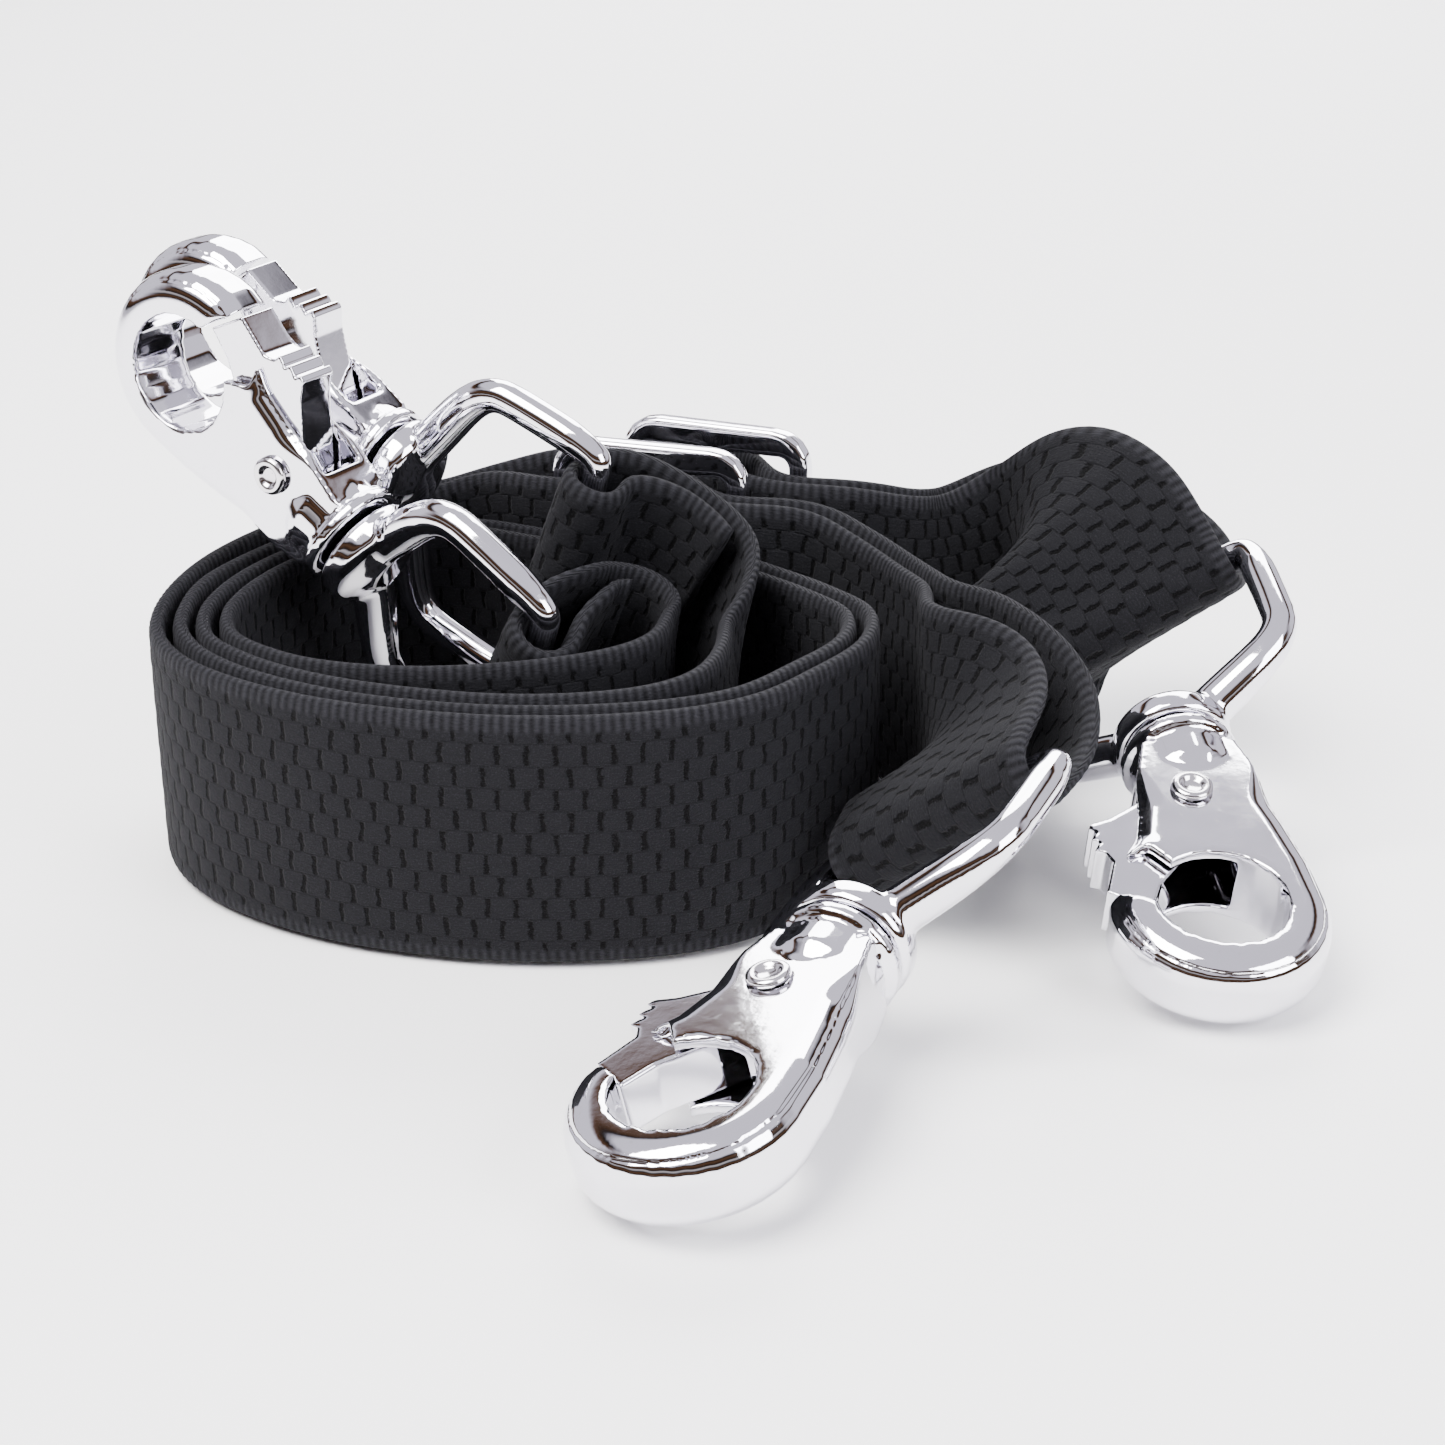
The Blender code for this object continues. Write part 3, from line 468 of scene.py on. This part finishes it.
def as_object(name, points, faces):
    """A smooth-shaded object from points in metres and its faces."""
    mesh = bpy.data.meshes.new(name)
    mesh.from_pydata([tuple(p) for p in points], [], [tuple(f) for f in faces])
    mesh.polygons.foreach_set("use_smooth", np.ones(len(mesh.polygons), bool))
    mesh.update()
    made = bpy.data.objects.new(name, mesh)
    bpy.context.scene.collection.objects.link(made)
    return made


def cast(name, place, points, faces, voxel, passes):
    """A solid rounded as a casting is: rebuilt at the voxel's size in mm, then relaxed."""
    rough = as_object(name + "_rough", points, faces)
    step = rough.modifiers.new("solid", "REMESH")
    step.mode = "VOXEL"
    step.voxel_size = voxel
    relax = rough.modifiers.new("relax", "SMOOTH")
    relax.factor = 0.5
    relax.iterations = passes
    mesh = bpy.data.meshes.new_from_object(rough.evaluated_get(bpy.context.evaluated_depsgraph_get()))
    bpy.data.objects.remove(rough)
    mesh.transform(place @ Matrix.Diagonal((0.001, 0.001, 0.001, 1.0)))
    mesh.name = name
    mesh.materials.clear()
    mesh.polygons.foreach_set("use_smooth", np.ones(len(mesh.polygons), bool))
    made = bpy.data.objects.new(name, mesh)
    bpy.context.scene.collection.objects.link(made)
    return made


def node_in(place, node):
    """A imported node's points in millimetres in a frame, and its faces, welded."""
    source = frame["nodes"][node].data
    points = np.array([place.inverted() @ v.co for v in source.vertices]) * 1000.0
    keys, first, index = np.unique(np.round(points, 4), axis=0, return_index=True, return_inverse=True)
    index = index.ravel()
    faces = [[int(index[v]) for v in p.vertices] for p in source.polygons]
    return points[first], [f for f in faces if len(set(f)) > 2]


def finished(piece, body, node, finish):
    """Puts a piece on its body in place of its node, in its own finish."""
    piece.data.materials.append(finish)
    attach(piece, body)
    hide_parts(node)


chrome = plated_metal("chrome_plate", (0.83, 0.82, 0.87), 0.06, 0.05)
for end in ("right", "front"):
    run = joints[end + "_slide_run"]
    x_axis = Vector(run["axis"])
    up = Vector((0.0, 0.0, 1.0))
    z_axis = x_axis.cross(up).normalized()
    turn = Matrix((x_axis, z_axis.cross(x_axis), z_axis)).transposed().to_4x4()
    place = Matrix.Translation(Vector(run["pos_m"])) @ turn
    points, faces = node_in(place, end + "_slide")
    slide = cast(end + "_slide_frame", place, points, faces, 0.25, 8)
    finished(slide, end + "_slide", end + "_slide", chrome)


# --- swivel eyes -------------------------------------------------------------------------
# Chrome wire-shaped castings: a turned flange and stem with two shoulders, arms and a thinner
# crossbar. The webbing hangs on the crossbar, and the headed stem turns in the hook's tail.

def hook_places(hook):
    """Frames of a hook's eye and body: X along the stem, Y along the crossbar or across the body."""
    endings = ("_swivel", "_eye_on_webbing", "_gate_hinge")
    swivel, eye, gate = (joints[hook + ending] for ending in endings)
    x_axis = Vector(swivel["axis"]).normalized()
    bar = Vector(eye["axis"]).normalized()
    face = Vector(gate["axis"]).normalized()
    centre = Matrix.Translation(Vector(swivel["pos_m"]))
    eye_turn = Matrix((x_axis, bar, x_axis.cross(bar))).transposed().to_4x4()
    body_turn = Matrix((x_axis, face.cross(x_axis), face)).transposed().to_4x4()
    return centre @ eye_turn, centre @ body_turn


def turned_part(profile, steps):
    """Points and faces of a profile of (x, radius) pairs turned about X, its ends on the axis."""
    turn = np.linspace(0.0, 2.0 * math.pi, steps, endpoint=False)
    rings = [[(x, r * math.cos(a), r * math.sin(a)) for a in turn] for x, r in profile[1:-1]]
    points = [(profile[0][0], 0.0, 0.0)] + [p for ring in rings for p in ring]
    points.append((profile[-1][0], 0.0, 0.0))
    faces = []
    for k in range(steps):
        m = (k + 1) % steps
        faces.append((0, 1 + m, 1 + k))
        for r in range(len(rings) - 1):
            low, high = 1 + r * steps, 1 + (r + 1) * steps
            faces.append((low + k, low + m, high + m, high + k))
        last = 1 + (len(rings) - 1) * steps
        faces.append((last + k, last + m, len(points) - 1))
    return points, faces


def eye_loop():
    """Centre line of the eye's frame, its corners cut round, and the wire's radius along it."""
    half = [(-2.6, 2.0), (-4.4, 6.2), (-7.0, 12.0), (-9.4, 14.2), (-12.0, 14.6), (-22.0, 14.6),
            (-23.4, 12.9)]
    loop = np.array(half + [(x, -y) for x, y in reversed(half)])
    for _ in range(3):
        ahead = np.roll(loop, -1, 0)
        loop = np.stack([0.75 * loop + 0.25 * ahead, 0.25 * loop + 0.75 * ahead], 1).reshape(-1, 2)
    toward_bar = blend(-loop[:, 0], 18.0, 23.0)
    toward_hub = blend(loop[:, 0], -10.0, -4.0)
    return loop, 1.78 - 0.26 * toward_bar + 0.45 * toward_hub


def eye_part():
    """Points and faces of the eye: a closed round tube, and the turned hub, stem and head."""
    loop, radius = eye_loop()
    ahead = unit(np.roll(loop, -1, 0) - np.roll(loop, 1, 0))
    across = np.stack([-ahead[:, 1], ahead[:, 0]], 1)
    turn = np.linspace(0.0, 2.0 * math.pi, 20, endpoint=False)
    flat = loop[:, None] + (radius[:, None] * np.cos(turn))[:, :, None] * across[:, None]
    high = radius[:, None] * np.sin(turn)
    points = np.concatenate([flat, high[:, :, None]], 2).reshape(-1, 3).tolist()
    index = np.arange(len(points)).reshape(len(loop), 20)
    after = np.roll(index, -1, 0)
    faces = np.stack([index, after, np.roll(after, -1, 1), np.roll(index, -1, 1)], -1)
    faces = faces.reshape(-1, 4).tolist()
    flange = [(-5.2, 0.0), (-5.1, 2.2), (-4.4, 3.8), (-3.6, 5.3), (-2.9, 5.85), (-1.1, 5.85)]
    stem = [(-0.55, 5.4), (-0.5, 1.6), (5.6, 1.6), (5.6, 2.4), (6.6, 2.4), (6.6, 0.0)]
    hub, hub_faces = turned_part(flange + stem, 40)
    return points + list(hub), faces + [[v + len(points) for v in f] for f in hub_faces]


for hook in ("front", "right", "near", "far"):
    place = hook_places(hook)[0]
    points, faces = eye_part()
    eye = cast(hook + "_cast_eye", place, points, faces, 0.28, 10)
    finished(eye, hook + "_eye", hook + "_swivel_eye", chrome)


# --- hook bodies -------------------------------------------------------------------------
# Chrome die castings: a round nose with its loop, two cheeks that hold the gate's rivet, and
# a tail with a raised collar that turns on the eye's stem.

def round_rim(piece, place, outline, half, radius, start, full):
    """Turns a plate's square rim round: near the rim (r - d, r - h) is scaled by its larger part over
    its length, where d is the depth from the outline and h the depth from the face."""
    mesh = piece.data
    co = np.empty(len(mesh.vertices) * 3)
    mesh.vertices.foreach_get("co", co)
    world = np.array(place)
    local = (co.reshape(-1, 3) - world[:3, 3]) @ world[:3, :3] * 1000.0
    ring = np.array(outline)
    ahead = np.roll(ring, -1, 0) - ring
    best, inward = np.full(len(local), 1e9), np.zeros((len(local), 2))
    for corner, edge in zip(ring, ahead):
        t = np.clip((local[:, :2] - corner) @ edge / (edge @ edge), 0.0, 1.0)
        away = local[:, :2] - (corner + t[:, None] * edge)
        depth = np.linalg.norm(away, axis=1)
        closer = depth < best
        best[closer] = depth[closer]
        inward[closer] = np.array([-edge[1], edge[0]]) / np.linalg.norm(edge)
    rim = radius * blend(local[:, 0], start, full) + 0.001
    high = half - np.abs(local[:, 2])
    v = np.stack([rim - best, rim - high], 1)
    corner = (v > 0.0).all(1)
    scale = np.where(corner, v.max(1) / np.maximum(np.linalg.norm(v, axis=1), 1e-6), 1.0)
    local[:, :2] += inward * (v[:, :1] * (1.0 - scale[:, None]))
    local[:, 2] = np.where(corner, np.sign(local[:, 2]) * (half - (rim - v[:, 1] * scale)), local[:, 2])
    mesh.vertices.foreach_set("co", (local * 0.001 @ world[:3, :3].T + world[:3, 3]).ravel())
    mesh.update()


def hook_outline():
    """Plan of the hook's body in millimetres, anticlockwise: tail end, cheeks, round nose, spine."""
    sweep = np.radians(np.linspace(-90, 90, 37))
    nose = [(24.6 + 10.2 * math.cos(a), -2.2 + 10.2 * math.sin(a)) for a in sweep]
    cheeks = [(-20.0, -4.6), (2.2, -4.6), (8.0, -6.4), (15.0, -8.4), (19.0, -11.2)]
    spine = [(19.5, 7.8), (14.0, 7.0), (7.0, 5.6), (2.2, 4.6), (-20.0, 4.6)]
    return cheeks + nose + spine


body_half, rim_radius = 3.9, 2.9         # half thickness of the plate, and its rim's round edge
rim_start, rim_full = 5.0, 12.0          # where the rounding begins and is full, from the swivel
for hook in ("front", "right", "near", "far"):
    place = hook_places(hook)[1]
    points, faces = node_in(place, hook + "_hook_body")
    body = cast(hook + "_cast_hook", place, points, faces, 0.26, 5)
    round_rim(body, place, hook_outline(), body_half, rim_radius, rim_start, rim_full)
    finished(body, hook + "_hook", hook + "_hook_body", chrome)


# --- gates -------------------------------------------------------------------------------
# The sprung arm that closes each loop, with its ribbed thumb lever, between the two cheeks.

for hook in ("front", "right", "near", "far"):
    place = hook_places(hook)[1]
    points, faces = node_in(place, hook + "_gate")
    gate = cast(hook + "_cast_gate", place, points, faces, 0.18, 4)
    finished(gate, hook + "_gate", hook + "_gate", chrome)


# --- rivets ------------------------------------------------------------------------------
# A steel pin through both cheeks of each hook, its ends upset into hollow round heads.

def rivet_part():
    """Points and faces of the pin about X: a dished rim at both ends of a plain shank."""
    head = [(4.30, 0.0), (4.30, 0.75), (4.42, 0.95), (4.66, 1.12), (4.76, 1.35), (4.74, 1.65),
            (4.55, 1.92), (4.22, 2.0), (4.22, 1.1)]
    return turned_part([(-x, r) for x, r in head] + list(reversed(head)), 32)


rivet_steel = plated_metal("rivet_plate", (0.72, 0.70, 0.72), 0.13, 0.25)
for hook in ("front", "right", "near", "far"):
    pivot = joints[hook + "_gate_hinge"]
    turn = Vector((1.0, 0.0, 0.0)).rotation_difference(Vector(pivot["axis"])).to_matrix().to_4x4()
    place = Matrix.Translation(Vector(pivot["pos_m"])) @ turn
    points, faces = rivet_part()
    rivet = as_object(hook + "_upset_rivet", [place @ (Vector(p) * 0.001) for p in points], faces)
    finished(rivet, hook + "_hook", hook + "_rivet", rivet_steel)


# --- gate springs ------------------------------------------------------------------------
# A small torsion spring of round steel wire in each gate's recess, round the rivet.

def coil_part():
    """Round wire of radius 0.16 mm on the helix (1.8 cos t, 1.8 sin t, 1.8 + 0.33 t / 2 pi)."""
    turns = np.linspace(0.0, 2.0 * math.pi * 1.4, 60)
    rise = 1.8 + 0.33 * turns / (2.0 * math.pi)
    centre = np.stack([1.8 * np.cos(turns), 1.8 * np.sin(turns), rise], 1)
    out = np.stack([np.cos(turns), np.sin(turns), 0.0 * turns], 1)
    ring = np.linspace(0.0, 2.0 * math.pi, 10, endpoint=False)
    up = np.array([0.0, 0.0, 1.0])
    points = centre[:, None] + 0.16 * (np.cos(ring)[:, None] * out[:, None] + np.sin(ring)[:, None] * up)
    index = np.arange(600).reshape(60, 10)
    a, b = index[:-1], index[1:]
    quads = np.stack([a, np.roll(a, -1, 1), np.roll(b, -1, 1), b], -1).reshape(-1, 4).tolist()
    return points.reshape(-1, 3), quads + [index[0].tolist(), index[-1][::-1].tolist()]


wire = plated_metal("spring_wire", (0.33, 0.33, 0.35), 0.30, 0.25)
for hook in ("front", "right", "near", "far"):
    pivot = joints[hook + "_gate_hinge"]
    turn = hook_places(hook)[1].to_3x3().to_4x4()
    place = Matrix.Translation(Vector(pivot["pos_m"])) @ turn
    points, faces = coil_part()
    spring = as_object(hook + "_coiled_spring", [place @ (Vector(p) * 0.001) for p in points], faces)
    finished(spring, hook + "_hook", hook + "_gate_spring", wire)


# --- floor, light and camera --------------------------------------------------------------
# A pale matt floor under soft boxes, with dark cards that the plating mirrors as bands.

def soft_box(name, place, target, size, power, colour):
    """A square light that faces a target point."""
    lamp = bpy.data.lights.new(name, "AREA")
    lamp.shape = "SQUARE"
    lamp.size = size
    lamp.energy = power
    lamp.color = colour
    made = bpy.data.objects.new(name, lamp)
    made.location = place
    made.rotation_euler = (Vector(target) - Vector(place)).to_track_quat("-Z", "Y").to_euler()
    bpy.context.scene.collection.objects.link(made)


floor_half = 3.0
corners = [(x * floor_half, y * floor_half, 0.0) for x, y in ((-1, -1), (1, -1), (1, 1), (-1, 1))]
floor = as_object("floor", corners, [(0, 1, 2, 3)])
pale = bpy.data.materials.new("pale_floor")
pale.use_nodes = True
grain = pale.node_tree.nodes.new("ShaderNodeTexNoise")
grain.inputs["Scale"].default_value = 8.0
tone = pale.node_tree.nodes.new("ShaderNodeMapRange")
tone.inputs["To Min"].default_value = 0.93
tone.inputs["To Max"].default_value = 0.96
pale.node_tree.links.new(grain.outputs[0], tone.inputs["Value"])
pale.node_tree.links.new(tone.outputs[0], pale.node_tree.nodes["Principled BSDF"].inputs["Base Color"])
pale.node_tree.nodes["Principled BSDF"].inputs["Roughness"].default_value = 0.9
floor.data.materials.append(pale)

soft_box("key_light", (-0.35, -0.25, 0.75), (0.0, 0.0, 0.02), 0.55, 22.0, (1.0, 0.985, 0.97))
soft_box("fill_light", (0.65, -0.45, 0.45), (0.0, 0.0, 0.02), 0.5, 11.0, (0.95, 0.95, 1.0))
soft_box("back_light", (0.1, 0.75, 0.55), (0.0, 0.0, 0.02), 0.6, 15.0, (1.0, 1.0, 1.0))

world = bpy.data.worlds.new("studio")
bpy.context.scene.world = world
world.use_nodes = True
nodes, links = world.node_tree.nodes, world.node_tree.links
around = nodes.new("ShaderNodeTexCoord")
lift = nodes.new("ShaderNodeSeparateXYZ")
links.new(around.outputs["Generated"], lift.inputs[0])
scaled = nodes.new("ShaderNodeMapRange")
scaled.inputs["From Min"].default_value = -1.0
links.new(lift.outputs[2], scaled.inputs["Value"])


def height_bands(bands):
    """Colours of the surroundings by height, from straight down at 0 to straight up at 1."""
    ramp = nodes.new("ShaderNodeValToRGB")
    while len(ramp.color_ramp.elements) < len(bands):
        ramp.color_ramp.elements.new(0.5)
    for element, (spot, tint) in zip(ramp.color_ramp.elements, bands):
        element.position = spot
        element.color = (*tint, 1.0)
    links.new(scaled.outputs[0], ramp.inputs[0])
    return ramp.outputs[0]


bright, dark, brown = (1.10, 1.06, 1.20), (0.012, 0.009, 0.008), (0.13, 0.065, 0.035)
front_side = height_bands(((0.0, bright), (0.49, (0.7, 0.68, 0.74)), (0.505, dark), (0.56, brown),
                           (0.585, dark), (0.63, (0.75, 0.70, 0.72)), (0.655, dark), (0.72, brown),
                           (0.76, dark), (0.80, bright)))
back_side = height_bands(((0.0, bright), (0.50, (0.8, 0.78, 0.85)), (0.515, dark), (0.545, brown),
                          (0.57, bright), (0.76, bright), (0.785, brown), (0.82, dark),
                          (0.85, bright), (1.0, bright)))
facing = nodes.new("ShaderNodeMapRange")
facing.interpolation_type = "SMOOTHSTEP"
facing.inputs["From Min"].default_value = -0.15
facing.inputs["From Max"].default_value = 0.25
links.new(lift.outputs[1], facing.inputs["Value"])
sky = nodes.new("ShaderNodeMix")
sky.data_type = "RGBA"
links.new(facing.outputs[0], sky.inputs[0])
links.new(front_side, sky.inputs[6])
links.new(back_side, sky.inputs[7])
seen = nodes.new("ShaderNodeLightPath")
plain = nodes.new("ShaderNodeBackground")
plain.inputs["Color"].default_value = (1.0, 1.0, 1.0, 1.0)
plain.inputs["Strength"].default_value = 3.0
mirror = nodes["Background"]
links.new(sky.outputs[2], mirror.inputs["Color"])
mirror.inputs["Strength"].default_value = 0.9
mixer = nodes.new("ShaderNodeMixShader")
links.new(seen.outputs["Is Camera Ray"], mixer.inputs[0])
links.new(mirror.outputs[0], mixer.inputs[1])
links.new(plain.outputs[0], mixer.inputs[2])
links.new(mixer.outputs[0], nodes["World Output"].inputs["Surface"])

lens = bpy.data.cameras.new("camera")
lens.lens = 69.0
lens.sensor_width = 36.0
lens.clip_start = 0.01
camera = bpy.data.objects.new("camera", lens)
camera.location = (0.003692, -0.242294, 0.120305)
camera.rotation_euler = (math.radians(90.0 - 22.5), 0.0, 0.0)
bpy.context.scene.collection.objects.link(camera)
bpy.context.scene.camera = camera
